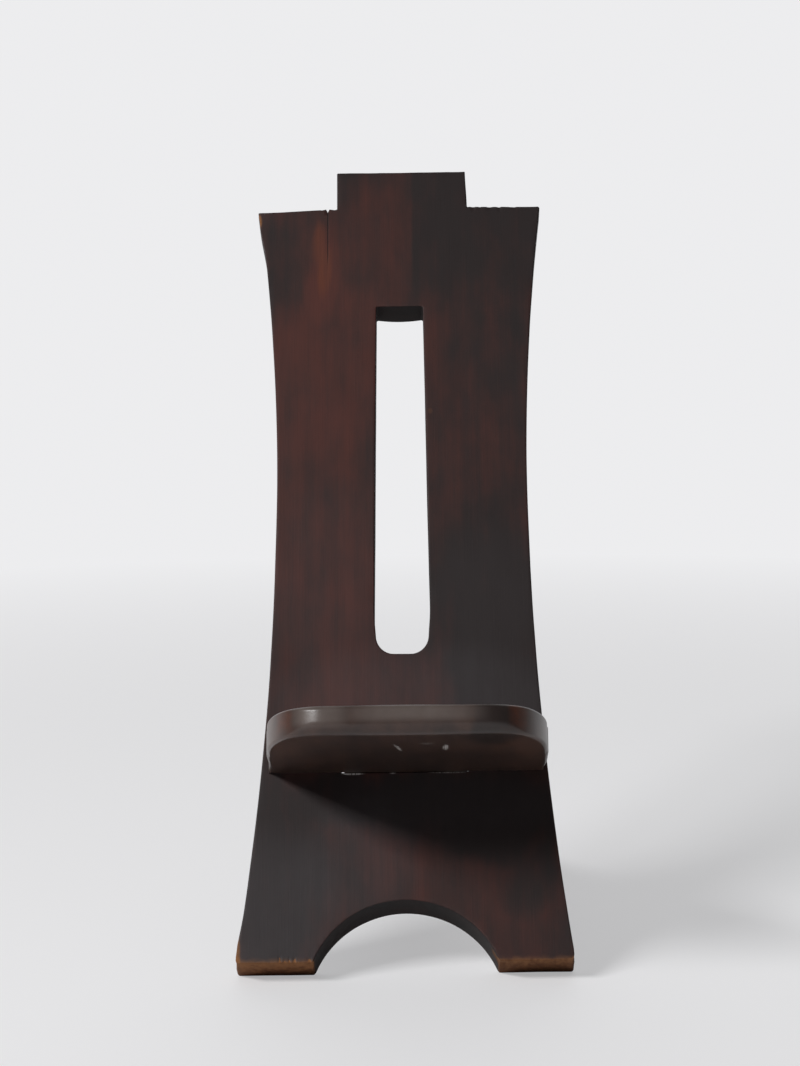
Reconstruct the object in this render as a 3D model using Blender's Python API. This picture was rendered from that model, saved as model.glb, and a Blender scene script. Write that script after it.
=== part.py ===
"""A carved chair of two boards that stands by one board passing through the other.

The back board leans away from the sitter on two feet. The seat board is pushed, tail first,
through a mortise low in the back board until its shoulders meet it, and its tail comes down to
the floor behind. Nothing else holds the chair together, and the seat draws out again forwards.
Metres, +Z up, the sitter faces -Y, and the floor is at Z = 0.
"""

from math import atan2, cos, pi, radians, sin, tan

import bmesh
import bpy
from mathutils import Matrix, Vector

# Stance of the two boards
BACK_LEAN = radians(31.0)  # back board, from upright
SEAT_SLOPE = radians(21.0)  # seat board, rising towards the sitter's knees

# Lengths up the back board's front face, end to end from its lower arris
SEAT_LEVEL = 0.212  # foot to the seat's underside
SLOT_RISE = 0.136  # seat's underside to the slot
SLOT_LENGTH = 0.428
HEAD_LENGTH = 0.127  # slot to the shoulders
TAB_HEIGHT = 0.048
WAIST_RISE = 0.338  # seat's underside to the narrowest width

# Widths and thicknesses of the back board
BASE_WIDTH = 0.360  # across both feet
FOOT_WIDTH = 0.081  # one foot
WAIST_WIDTH = 0.281
SHOULDER_WIDTH = 0.325
TAB_WIDTH = 0.149
FOOT_THICKNESS = 0.054
HEAD_THICKNESS = 0.033
FOOT_FLAT = 0.007  # worn strip of each foot that lies on the floor, front to back

# Openings in the back board
ARCH_RISE = 0.068
SLOT_TOP_WIDTH = 0.054
SLOT_BOTTOM_WIDTH = 0.0625
SLOT_TOP_RADIUS = 0.006
SLOT_BOTTOM_RADIUS = 0.021
SLOT_END_FLAT = 0.001  # least straight run left between two rounded corners of the slot

# Seat board
SEAT_THICKNESS = 0.030
FRONT_WIDTH = 0.164  # straight front edge, between its round corners
CORNER_WIDTH = 0.065  # one round corner, across the seat
CORNER_LENGTH = 0.135  # one round corner, along the seat
SIDE_LENGTH = 0.113  # round corner to the back board, along the seat
REAR_WIDTH = 0.297  # across the shoulders that meet the back board
TOP_ARRIS = 0.004
LOWER_ARRIS = 0.007
TONGUE_WIDTH = 0.134  # where it enters the back board
TAIL_TAPER = 0.030  # how much narrower it is at the floor
HEEL_FLAT = 0.030  # part of the tail that lies on the floor, front to back

# Fits
FIT_GAP = 0.0003  # between surfaces that bear on each other
MORTISE_SIDE_CLEARANCE = 0.0025
MORTISE_TOP_CLEARANCE = 0.003

# Finish
BACK_STAIN = (0.020, 0.009, 0.008)
BACK_ROUGHNESS = 0.42
SEAT_STAIN = (0.026, 0.014, 0.012)
SEAT_ROUGHNESS = 0.34

# Fineness of the curves
SIDE_STEPS = 14
ARCH_STEPS = 24
SLOT_CORNER_STEPS = 6
SEAT_CORNER_STEPS = 12
ARRIS_SEGMENTS = 2

# Places worked out from the sizes above
SLOT_BOTTOM = SEAT_LEVEL + SLOT_RISE
SLOT_TOP = SLOT_BOTTOM + SLOT_LENGTH
SHOULDER_LEVEL = SLOT_TOP + HEAD_LENGTH
BACK_LENGTH = SHOULDER_LEVEL + TAB_HEIGHT
WAIST_LEVEL = SEAT_LEVEL + WAIST_RISE
ARCH_WIDTH = BASE_WIDTH - 2 * FOOT_WIDTH
FOOT_WEAR = FOOT_FLAT * sin(BACK_LEAN) * cos(BACK_LEAN)  # height lost to the worn strip
FOOT_ARRIS_HEIGHT = FOOT_THICKNESS * sin(BACK_LEAN) - FOOT_WEAR
SEAT_ROOT = Vector((0.0, SEAT_LEVEL * sin(BACK_LEAN), FOOT_ARRIS_HEIGHT + SEAT_LEVEL * cos(BACK_LEAN)))
SEAT_REACH = CORNER_LENGTH + SIDE_LENGTH
HEEL_WEAR = HEEL_FLAT * sin(SEAT_SLOPE) * cos(SEAT_SLOPE)
TAIL_LENGTH = (SEAT_ROOT.z + HEEL_WEAR) / sin(SEAT_SLOPE)
MORTISE_CANT = BACK_LEAN - SEAT_SLOPE  # how far the mortise is off square to the back board
CUT_MARGIN = FOOT_THICKNESS  # how far a cutter stands out of the board


def clear_scene():
    """Remove every object of the open scene."""
    for obj in list(bpy.data.objects):
        bpy.data.objects.remove(obj, do_unlink=True)


def stained_wood(name, colour, roughness):
    """A plain stained timber."""
    material = bpy.data.materials.new(name)
    material.use_nodes = True
    shader = material.node_tree.nodes["Principled BSDF"]
    shader.inputs["Base Color"].default_value = (*colour, 1.0)
    shader.inputs["Roughness"].default_value = roughness
    shader.inputs["Metallic"].default_value = 0.0
    return material


def add_object(name, bm, parent, location=(0.0, 0.0, 0.0), tilt=0.0):
    """Turn a bmesh into an object under the parent, tipped backwards by tilt."""
    mesh = bpy.data.meshes.new(name)
    bmesh.ops.recalc_face_normals(bm, faces=bm.faces)
    bm.to_mesh(mesh)
    bm.free()
    obj = bpy.data.objects.new(name, mesh)
    bpy.context.collection.objects.link(obj)
    obj.parent = parent
    obj.location = location
    obj.rotation_euler.x = -tilt
    return obj


def mirrored(right_half):
    """Corners of the right half followed by the same corners on the left, in reverse."""
    return right_half + [(-x, *rest) for x, *rest in reversed(right_half)]


def rounded(corners):
    """Outline through (x, y, radius) corners, each turned by an arc of its radius."""
    outline = []
    for index, (x, y, radius) in enumerate(corners):
        corner = Vector((x, y))
        before = (Vector(corners[index - 1][:2]) - corner).normalized()
        after = (Vector(corners[(index + 1) % len(corners)][:2]) - corner).normalized()
        half_angle = before.angle(after) / 2
        centre = corner + (before + after).normalized() * radius / sin(half_angle)
        start = corner + before * radius / tan(half_angle) - centre
        end = corner + after * radius / tan(half_angle) - centre
        turn = atan2(start.x * end.y - start.y * end.x, start.dot(end))
        for step in range(SLOT_CORNER_STEPS + 1):
            outline.append(centre + Matrix.Rotation(turn * step / SLOT_CORNER_STEPS, 2) @ start)
    return outline


def rectangle(half_width, front, rear):
    """Plan of a plain block, centred across the chair."""
    return [(-half_width, front), (half_width, front), (half_width, rear), (-half_width, rear)]


def prism(outline, axis, near, far):
    """Extrude a flat outline along Y, where it lies in X and Z, or along Z."""
    bm = bmesh.new()
    if axis == "Y":
        loop = [bm.verts.new((x, near, z)) for x, z in outline]
        reach = Vector((0.0, far - near, 0.0))
    else:
        loop = [bm.verts.new((x, y, near)) for x, y in outline]
        reach = Vector((0.0, 0.0, far - near))
    face = bm.faces.new(loop)
    grown = bmesh.ops.extrude_face_region(bm, geom=[face])["geom"]
    moved = [item for item in grown if isinstance(item, bmesh.types.BMVert)]
    bmesh.ops.translate(bm, verts=moved, vec=reach)
    return bm


def cut(obj, cutter):
    """Take the cutter's shape out of the object."""
    cutter.hide_render = True
    cutter.display_type = "WIRE"
    modifier = obj.modifiers.new("cut_" + cutter.name, "BOOLEAN")
    modifier.operation = "DIFFERENCE"
    modifier.solver = "EXACT"
    modifier.object = cutter


def side_half_width(level):
    """Half width of the back board, which draws in to the waist from both ends."""
    if level < WAIST_LEVEL:
        end_width, end_level = BASE_WIDTH, 0.0
    else:
        end_width, end_level = SHOULDER_WIDTH, SHOULDER_LEVEL
    share = (level - WAIST_LEVEL) / (end_level - WAIST_LEVEL)
    return (WAIST_WIDTH + (end_width - WAIST_WIDTH) * share**2) / 2


def side_levels():
    """Levels up the back board's sides, from the foot through the waist to the shoulder."""
    shares = [step / SIDE_STEPS for step in range(SIDE_STEPS + 1)]
    below = [WAIST_LEVEL * share for share in shares[:-1]]
    above = [WAIST_LEVEL + (SHOULDER_LEVEL - WAIST_LEVEL) * share for share in shares]
    return below + above


def back_thickness(level):
    """Thickness of the back board, which thins evenly from foot to tab."""
    return FOOT_THICKNESS + (HEAD_THICKNESS - FOOT_THICKNESS) * level / BACK_LENGTH


def arch_points():
    """Inner points of the arch between the feet, from left to right."""
    radius = (ARCH_WIDTH**2 / 4 + ARCH_RISE**2) / (2 * ARCH_RISE)
    half_turn = atan2(ARCH_WIDTH / 2, radius - ARCH_RISE)
    turns = [half_turn * (2 * step / ARCH_STEPS - 1) for step in range(1, ARCH_STEPS)]
    return [(radius * sin(turn), ARCH_RISE - radius + radius * cos(turn)) for turn in turns]


def back_outline():
    """Outline of the back board, anticlockwise seen from the front."""
    right_half = [(ARCH_WIDTH / 2, 0.0)]
    right_half += [(side_half_width(level), level) for level in side_levels()]
    right_half += [(TAB_WIDTH / 2, SHOULDER_LEVEL), (TAB_WIDTH / 2, BACK_LENGTH)]
    return mirrored(right_half) + arch_points()


def slot_cutter(parent, location):
    """The long opening up the middle of the back, squarish above and round below."""
    top_radius = min(SLOT_TOP_RADIUS, SLOT_TOP_WIDTH / 2 - SLOT_END_FLAT)
    bottom_radius = min(SLOT_BOTTOM_RADIUS, SLOT_BOTTOM_WIDTH / 2 - SLOT_END_FLAT)
    outline = rounded(mirrored([
        (SLOT_BOTTOM_WIDTH / 2, SLOT_BOTTOM, bottom_radius),
        (SLOT_TOP_WIDTH / 2, SLOT_TOP, top_radius),
    ]))
    bm = prism(outline, "Y", -CUT_MARGIN, FOOT_THICKNESS + CUT_MARGIN)
    return add_object("slot_cutter", bm, parent, location, BACK_LEAN)


def mortise_cutter(parent):
    """The hole that the tongue passes through, square to the seat and not to the back."""
    half_width = TONGUE_WIDTH / 2 + MORTISE_SIDE_CLEARANCE
    rear = FOOT_THICKNESS / cos(MORTISE_CANT) + CUT_MARGIN
    outline = rectangle(half_width, -CUT_MARGIN, rear)
    bm = prism(outline, "Z", -FIT_GAP, SEAT_THICKNESS + MORTISE_TOP_CLEARANCE)
    return add_object("mortise_cutter", bm, parent, SEAT_ROOT, SEAT_SLOPE)


def floor_cutter(parent):
    """The floor, which wears both boards flat where they stand on it."""
    rear = SEAT_ROOT.y + TAIL_LENGTH + CUT_MARGIN
    bm = prism(rectangle(BASE_WIDTH, -CUT_MARGIN, rear), "Z", -CUT_MARGIN, 0.0)
    return add_object("floor_cutter", bm, parent)


def make_back_board(parent):
    """The leaning board with its arch, slot and shoulders."""
    bm = prism(back_outline(), "Y", 0.0, FOOT_THICKNESS)
    for vert in bm.verts:
        if vert.co.y > 0.0:
            vert.co.y = back_thickness(vert.co.z)
    location = (0.0, 0.0, FOOT_ARRIS_HEIGHT)
    board = add_object("back_board", bm, parent, location, BACK_LEAN)
    board.data.materials.append(stained_wood("dark_back_stain", BACK_STAIN, BACK_ROUGHNESS))
    cut(board, slot_cutter(parent, location))
    return board


def front_corner():
    """Right front corner of the seat, a quarter of an ellipse from the front edge to the side."""
    turns = [pi / 2 * step / SEAT_CORNER_STEPS for step in range(SEAT_CORNER_STEPS + 1)]
    return [
        (FRONT_WIDTH / 2 + CORNER_WIDTH * sin(turn), CORNER_LENGTH * (1 - cos(turn)) - SEAT_REACH)
        for turn in turns
    ]


def seat_outline(shoulder):
    """Plan of the seat board: paddle, shoulders, tongue and tail."""
    tail_width = TONGUE_WIDTH - TAIL_TAPER
    rear = [(REAR_WIDTH / 2, shoulder), (TONGUE_WIDTH / 2, shoulder), (tail_width / 2, TAIL_LENGTH)]
    return mirrored(front_corner() + rear)


def soften_paddle(bm, shoulder):
    """Round the seat's upper and lower arrises from one shoulder round to the other."""
    for level, width in ((0.0, LOWER_ARRIS), (SEAT_THICKNESS, TOP_ARRIS)):
        rim = []
        for edge in bm.edges:
            level_with_rim = all(abs(vert.co.z - level) < FIT_GAP for vert in edge.verts)
            if level_with_rim and min(vert.co.y for vert in edge.verts) < shoulder - FIT_GAP:
                rim.append(edge)
        bmesh.ops.bevel(bm, geom=rim, offset=width, segments=ARRIS_SEGMENTS, profile=0.5,
                        affect="EDGES", material=-1)


def make_seat_board(parent):
    """The board that is sat on, with the tongue and tail that hold the back up."""
    shoulder = -FIT_GAP / cos(MORTISE_CANT)
    bm = prism(seat_outline(shoulder), "Z", 0.0, SEAT_THICKNESS)
    soften_paddle(bm, shoulder)
    for vert in bm.verts:
        if abs(vert.co.y - shoulder) < FIT_GAP:
            vert.co.y += vert.co.z * tan(MORTISE_CANT)
    seat = add_object("seat_board", bm, parent, SEAT_ROOT, SEAT_SLOPE)
    seat.data.materials.append(stained_wood("dark_seat_stain", SEAT_STAIN, SEAT_ROUGHNESS))
    return seat


def centre_over_origin(parent, boards):
    """Slide the chair along the floor until the origin is under the middle of its box."""
    bpy.context.view_layer.update()
    graph = bpy.context.evaluated_depsgraph_get()
    depths = []
    for board in boards:
        shape = board.evaluated_get(graph)
        depths += [(shape.matrix_world @ vert.co).y for vert in shape.data.vertices]
    parent.location.y = -(min(depths) + max(depths)) / 2


def main():
    """Make both boards, cut the joint between them and stand them on the floor."""
    clear_scene()
    chair = bpy.data.objects.new("chair", None)
    bpy.context.collection.objects.link(chair)
    back = make_back_board(chair)
    seat = make_seat_board(chair)
    floor = floor_cutter(chair)
    cut(back, mortise_cutter(chair))
    cut(back, floor)
    cut(seat, floor)
    centre_over_origin(chair, (back, seat))


main()
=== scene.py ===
"""Looks of the carved two-board chair: its finished boards, the studio around them and the camera."""

import logging
from collections.abc import Callable, Iterable, Mapping, Sequence
from dataclasses import dataclass, field
from enum import Enum
from math import atan2, cos, pi, radians, sin, tan
from typing import ClassVar

import bmesh
import bpy
from mathutils import Matrix, Vector, noise


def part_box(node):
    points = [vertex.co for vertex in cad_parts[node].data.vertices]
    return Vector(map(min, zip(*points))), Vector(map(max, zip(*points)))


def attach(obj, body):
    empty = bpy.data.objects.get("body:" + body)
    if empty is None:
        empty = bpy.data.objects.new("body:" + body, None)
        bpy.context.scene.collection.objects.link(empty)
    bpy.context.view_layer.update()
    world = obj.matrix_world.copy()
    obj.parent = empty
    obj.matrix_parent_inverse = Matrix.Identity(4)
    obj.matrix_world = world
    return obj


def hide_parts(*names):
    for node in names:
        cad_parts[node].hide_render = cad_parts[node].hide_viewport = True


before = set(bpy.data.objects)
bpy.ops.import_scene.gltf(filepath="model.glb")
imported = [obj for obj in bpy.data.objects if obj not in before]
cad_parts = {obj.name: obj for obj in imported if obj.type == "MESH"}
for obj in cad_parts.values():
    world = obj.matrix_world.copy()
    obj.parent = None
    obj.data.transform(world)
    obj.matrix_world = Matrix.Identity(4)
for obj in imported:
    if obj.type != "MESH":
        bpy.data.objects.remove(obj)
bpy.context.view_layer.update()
IMAGE_HEIGHT = 1066
SENSOR_WIDTH = 36.0
# Points closer than this, or alike to so many digits, are one point.
MERGE = 1e-6
MERGE_DIGITS = 6
# Shorter edges are dissolved, and a corner this close to a level stands on it.
SLIVER = 0.00012
# How far large faces outweigh small ones in the shading.
SHADING_WEIGHT = 90
# Noise runs from 0 to 1 about this value.
NOISE_MIDDLE = 0.5

log = logging.getLogger("chair")
Point = tuple[float, float]
Span = tuple[float, float]
Colour = tuple[float, float, float]


class Axis(Enum):
    """Directions that a board is sliced across."""

    ACROSS = Vector((1.0, 0.0, 0.0))
    DEPTH = Vector((0.0, 1.0, 0.0))
    ALONG = Vector((0.0, 0.0, 1.0))


class Figure(Enum):
    """Figures of the wood and its finish: a noise's scale across, in depth and along, and its detail."""

    STREAKS = ((90.0, 90.0, 3.5), 4.0)
    FIBRES = ((640.0, 640.0, 16.0), 3.0)
    CLOUDS = ((13.0, 13.0, 5.0), 4.0)
    MOTTLE = ((42.0, 42.0, 17.0), 4.0)
    WANDER = ((11.0, 11.0, 6.0), 2.0)
    BLOTCH = ((170.0, 80.0, 170.0), 4.0)
    DULLNESS = ((16.0, 16.0, 6.0), 3.0)
    UNEVEN = ((60.0, 60.0, 40.0), 4.0)
    GRIT = ((120.0, 60.0, 120.0), 4.0)


def smooth_share(low: float, high: float, value: float) -> float:
    """Share of the way from low to high, eased at both ends.

    Args:
        low: value that gives 0.
        high: value that gives 1.
        value: value to place between them.

    Returns:
        A number from 0 to 1.
    """
    share = min(max((value - low) / (high - low), 0.0), 1.0)
    return share * share * (3.0 - 2.0 * share)


def steps(count: int) -> list[float]:
    """Shares from 0 to 1 in count equal steps, both ends included."""
    return [index / count for index in range(count + 1)]


def quarter_turns(count: int) -> list[float]:
    """Angles from 0 to a quarter turn in count equal steps, both ends included."""
    return [pi / 2 * share for share in steps(count)]


def spread(low: float, high: float, gap: float) -> list[float]:
    """Even places strictly between two ends, about gap apart."""
    count = max(int(round((high - low) / gap)), 1)
    return [low + (high - low) * share for share in steps(count)[1:-1]]


def slice_across(
    bm: bmesh.types.BMesh,
    axis: Axis,
    places: Iterable[float],
    chosen: Callable[[bmesh.types.BMFace], bool] | None = None,
) -> None:
    """Cut faces by parallel planes so that the surface can be shaped.

    Args:
        bm: mesh to cut.
        axis: direction that the planes face.
        places: where the planes stand along that direction.
        chosen: test that a face passes to be cut; without it all are cut.
    """
    for place in places:
        geom = bm.verts[:] + bm.edges[:] + bm.faces[:]
        if chosen:
            faces = [face for face in bm.faces if chosen(face)]
            edges = {edge for face in faces for edge in face.edges}
            verts = {vert for face in faces for vert in face.verts}
            geom = [*verts, *edges, *faces]
        bmesh.ops.bisect_plane(
            bm,
            geom=geom,
            dist=MERGE,
            plane_co=axis.value * place,
            plane_no=axis.value,
        )


def soften(bm: bmesh.types.BMesh, edges: list[bmesh.types.BMEdge], width: float, segments: int) -> None:
    """Round a set of arrises.

    Args:
        bm: mesh that they belong to.
        edges: the arrises.
        width: how far the rounding reaches from each.
        segments: facets across the rounding.
    """
    bmesh.ops.bevel(
        bm,
        geom=edges,
        offset=width,
        segments=segments,
        profile=0.5,
        affect="EDGES",
        clamp_overlap=True,
        material=-1,
    )


def stand_on_floor(bm: bmesh.types.BMesh, place: Matrix) -> None:
    """Cut a board off level with the floor and close the cut.

    Args:
        bm: mesh in the board's own axes.
        place: the board's place in the chair.
    """
    home = place.inverted()
    result = bmesh.ops.bisect_plane(
        bm,
        geom=bm.verts[:] + bm.edges[:] + bm.faces[:],
        dist=MERGE,
        plane_co=home @ Vector((0.0, 0.0, 0.0)),
        plane_no=home.to_3x3() @ Vector((0.0, 0.0, -1.0)),
        clear_outer=True,
    )
    rim = [item for item in result["geom_cut"] if isinstance(item, bmesh.types.BMEdge)]
    bmesh.ops.edgeloop_fill(bm, edges=rim)


@dataclass(frozen=True)
class Chip:
    """A place where a blow or wear has taken a little wood away."""

    centre: tuple[float, float, float]
    radii: tuple[float, float, float]
    bite: float
    fresh: bool = True
    evenness: float = 0.75
    roughness: float = 0.5
    grain: float = 420.0

    def depth_at(self, spot: Vector) -> float:
        """How deep the chip is at a spot of the board.

        Args:
            spot: place in the board's own axes.

        Returns:
            The depth, 0 outside the chip.
        """
        away = spot - Vector(self.centre)
        share = Vector(a / r for a, r in zip(away, self.radii)).length
        if share >= 1.0:
            return 0.0
        rough = self.evenness + self.roughness * noise.noise(spot * self.grain)
        return self.bite * (1.0 - share * share) * rough


@dataclass(frozen=True)
class FineBand:
    """A box in a board's own axes that is sliced finely, so that small damage can be cut there."""

    low: tuple[float, float, float]
    high: tuple[float, float, float]
    cell: float = 0.0016

    def holds(self, face: bmesh.types.BMFace) -> bool:
        """Whether a face's middle lies in the box."""
        spot = face.calc_center_median()
        return all(low < part < high for low, part, high in zip(self.low, spot, self.high))


@dataclass(frozen=True)
class HandWork:
    """How far hand tools left a board from true."""

    wave: float = 0.0005
    wave_length: float = 0.11
    ripple: float = 0.00015
    ripple_length: float = 0.026
    seed: float = 0.0
    seed_ways: tuple[float, float, float] = (1.0, 0.37, -1.0)
    stretch: float = 0.6

    def offset_at(self, spot: Vector) -> float:
        """How far the surface stands out of true at a spot.

        Args:
            spot: place in the board's own axes.

        Returns:
            The distance outwards.
        """
        shift = Vector(way * self.seed for way in self.seed_ways)
        stretched = Vector((spot.x, spot.y, spot.z * self.stretch))
        broad = noise.noise(stretched / self.wave_length + shift)
        fine = noise.noise(stretched / self.ripple_length - shift)
        return self.wave * broad + self.ripple * fine


class Wire:
    """An output socket that adds Math nodes when it is used in arithmetic."""

    def __init__(self, paint: "Paint", socket: bpy.types.NodeSocket) -> None:
        """Keep the socket and the tree that it belongs to."""
        self.paint = paint
        self.socket = socket

    def __add__(self, other: "Wire | float") -> "Wire":
        """Sum."""
        return self.paint.maths("ADD", self, other)

    __radd__ = __add__

    def __mul__(self, other: "Wire | float") -> "Wire":
        """Product."""
        return self.paint.maths("MULTIPLY", self, other)

    __rmul__ = __mul__

    def __sub__(self, other: "Wire | float") -> "Wire":
        """Difference."""
        return self.paint.maths("SUBTRACT", self, other)

    def __rsub__(self, other: "Wire | float") -> "Wire":
        """Difference, the other way round."""
        return self.paint.maths("SUBTRACT", other, self)


class Paint:
    """A node tree, of a material or a world, that is built node by node."""

    # Places of a Mix node's colour sockets, whose names repeat.
    MIX_SHARE = 0
    MIX_FIRST = 6
    MIX_SECOND = 7
    MIX_RESULT = 2

    def __init__(self, tree: bpy.types.NodeTree) -> None:
        """Keep the tree to build in."""
        self.tree = tree

    def node(
        self,
        kind: str,
        inputs: Mapping[str | int, object] | None = None,
        settings: Mapping[str, object] | None = None,
        output: str | int = 0,
    ) -> Wire:
        """Add any node.

        Args:
            kind: the node's type.
            inputs: values or wires for its sockets.
            settings: its properties, set before the sockets.
            output: which output to hand back.

        Returns:
            The chosen output.
        """
        node = self.tree.nodes.new(kind)
        for name, value in (settings or {}).items():
            setattr(node, name, value)
        for name, value in (inputs or {}).items():
            self.feed(node.inputs[name], value)
        return Wire(self, node.outputs[output])

    def feed(self, socket: bpy.types.NodeSocket, value: object) -> None:
        """Link a wire to a socket, or set the socket's own value.

        Args:
            socket: input to feed.
            value: a wire, a number, a colour or a vector.
        """
        if isinstance(value, Wire):
            self.tree.links.new(value.socket, socket)
        elif isinstance(socket.default_value, float):
            socket.default_value = value
        else:
            socket.default_value = (*value, 1.0)[: len(socket.default_value)]

    def maths(self, operation: str, first: object, second: object) -> Wire:
        """Combine two numbers."""
        return self.node("ShaderNodeMath", {0: first, 1: second}, {"operation": operation})

    def vectors(self, operation: str, first: object, second: object) -> Wire:
        """Combine two vectors."""
        return self.node("ShaderNodeVectorMath", {0: first, 1: second}, {"operation": operation})

    def length(self, vector: Wire) -> Wire:
        """A vector's length."""
        return self.node("ShaderNodeVectorMath", {0: vector}, {"operation": "LENGTH"}, "Value")

    def reach(self, vector: Wire, along: Sequence[float]) -> Wire:
        """How far a vector reaches along another."""
        inputs = {0: vector, 1: along}
        return self.node("ShaderNodeVectorMath", inputs, {"operation": "DOT_PRODUCT"}, "Value")

    def band(self, value: Wire, low: float, high: float) -> Wire:
        """Ease a number from 0 at low to 1 at high."""
        limits = {"Value": value, "From Min": low, "From Max": high}
        return self.node("ShaderNodeMapRange", limits, {"interpolation_type": "SMOOTHSTEP"})

    def mix(self, share: Wire, first: object, second: object) -> Wire:
        """Blend two colours."""
        inputs = {self.MIX_SHARE: share, self.MIX_FIRST: first, self.MIX_SECOND: second}
        return self.node("ShaderNodeMix", inputs, {"data_type": "RGBA"}, self.MIX_RESULT)

    def cloud(self, vector: Wire, figure: Figure, output: str | int = 0) -> Wire:
        """Soft noise over stretched coordinates, from 0 to 1.

        Args:
            vector: coordinates to read.
            figure: the noise's scale and detail.
            output: which output to hand back, the number or the colour.

        Returns:
            The noise.
        """
        scale, detail = figure.value
        stretched = self.vectors("MULTIPLY", vector, scale)
        inputs = {"Vector": stretched, "Scale": 1.0, "Detail": detail}
        return self.node("ShaderNodeTexNoise", inputs, output=output)

    def attribute(self, name: str) -> Wire:
        """A number that the mesh carries at each of its points."""
        return self.node("ShaderNodeAttribute", settings={"attribute_name": name}, output="Fac")

    def parts(self, vector: Wire) -> tuple[Wire, Wire, Wire]:
        """The three numbers of a vector."""
        split = self.node("ShaderNodeSeparateXYZ", {0: vector}).socket.node
        return tuple(Wire(self, output) for output in split.outputs)

    def rays(self) -> tuple[Wire, Wire]:
        """How the camera comes to see a place.

        Returns:
            Whether it looks straight there, and whether it looks by way of gloss or glass.
        """
        path = self.node("ShaderNodeLightPath").socket.node
        names = ("Is Camera Ray", "Is Glossy Ray", "Is Transmission Ray")
        straight, gloss, through = (Wire(self, path.outputs[name]) for name in names)
        return straight, gloss + through


@dataclass(frozen=True)
class StainPatch:
    """A soft-edged oval on a board, in metres across and along, that may run askew or stop at a depth."""

    across: float
    along: float
    half_width: float
    half_length: float
    strength: float
    skew: float = 0.0
    above: float | None = None
    below: float | None = None
    heart: ClassVar[float] = 0.04
    above_fade: ClassVar[float] = 0.006
    below_fade: ClassVar[float] = 0.003

    def mask(self, paint: Paint, spot: Wire) -> Wire:
        """How strongly the patch shows at a spot.

        Args:
            paint: material to add the nodes to.
            spot: coordinates across, in depth and along.

        Returns:
            The strength, fading to 0 at the oval's rim.
        """
        middle = paint.vectors("SUBTRACT", spot, (self.across, 0.0, self.along))
        wide = paint.reach(middle, (1.0 / self.half_width, 0.0, -self.skew / self.half_width))
        long = paint.reach(middle, (0.0, 0.0, 1.0 / self.half_length))
        fade = 1.0 - paint.band(wide * wide + long * long, self.heart, 1.0)
        if self.above is not None:
            depth, soft = paint.parts(spot)[1], self.above_fade
            fade = fade * paint.band(depth, self.above - soft, self.above + soft)
        if self.below is not None:
            depth, soft = paint.parts(spot)[1], self.below_fade
            fade = fade * (1.0 - paint.band(depth, self.below - soft, self.below + soft))
        return fade * self.strength


@dataclass(frozen=True)
class StainRecipe:
    """How strongly the wood's figures show in its stain, wear, painted sheen, darkening and gloss, with
    lengths in metres.
    """

    # Stain from black to red, and how far its patches stray
    stray: tuple[float, float, float] = (0.05, 0.0, 0.12)
    cloud_weight: float = 0.9
    mottle_weight: float = 0.8
    streak_weight: float = 0.5
    tone_range: Span = (0.0, 1.1)

    # The head's blacker half
    head_fray: float = 0.012
    head_edge: Span = (0.0125, 0.0165)
    head_drift: float = 0.08
    head_level: Span = (0.77, 0.83)
    head_depth: float = 0.28

    # Thin stain and dark fibres
    thin_streaks: Span = (0.20, 0.75)
    thin_streak_weight: float = 0.8
    thin_mottle_weight: float = 0.9
    fibre_range: Span = (0.42, 0.80)
    fibre_weight: float = 0.20

    # Wear with painted sheen, painted sheen veil, pale scuffs with painted glints, and sawn walls
    rubbed_sheen_base: float = 0.70
    rubbed_sheen_uneven: float = 0.6
    veil_base: float = 0.55
    veil_uneven: float = 0.5
    veil_streaks: float = 0.4
    pale_mark_fibres: Span = (0.30, 0.60)
    sawn_weight: float = 0.8

    # Bare wood, darker in streaks and blotches, to the right and towards the floor
    bare_fray: float = 0.6
    bare_range: Span = (0.35, 0.60)
    darkening_streaks: float = 0.5
    darkening_across: float = 0.7
    darkening_depth: Span = (0.0, 0.045)
    darkening_depth_weight: float = 0.5
    darkening_range: Span = (0.50, 1.30)

    # Feet, rubbed and cut bare, with a darker band nearest the floor
    rub_fray: float = 0.010
    rub_level: Span = (-0.0040, 0.0085)
    rub_weight: float = 0.75
    cut_depth: Span = (-0.0005, 0.0030)
    cut_level: Span = (0.0008, 0.0030)
    floor_band_fray: float = 0.02
    floor_band_depth: Span = (0.040, 0.050)
    floor_band_weight: float = 0.7
    grit_base: float = 0.75
    grit_range: Span = (0.25, 0.65)
    grit_weight: float = 0.35

    # Gloss and relief
    bare_dullness: float = 0.25
    sawn_dullness: float = 0.25
    relief_fibres: float = 0.6
    relief_streaks: float = 0.4
    relief_distance: float = 0.001


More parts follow.
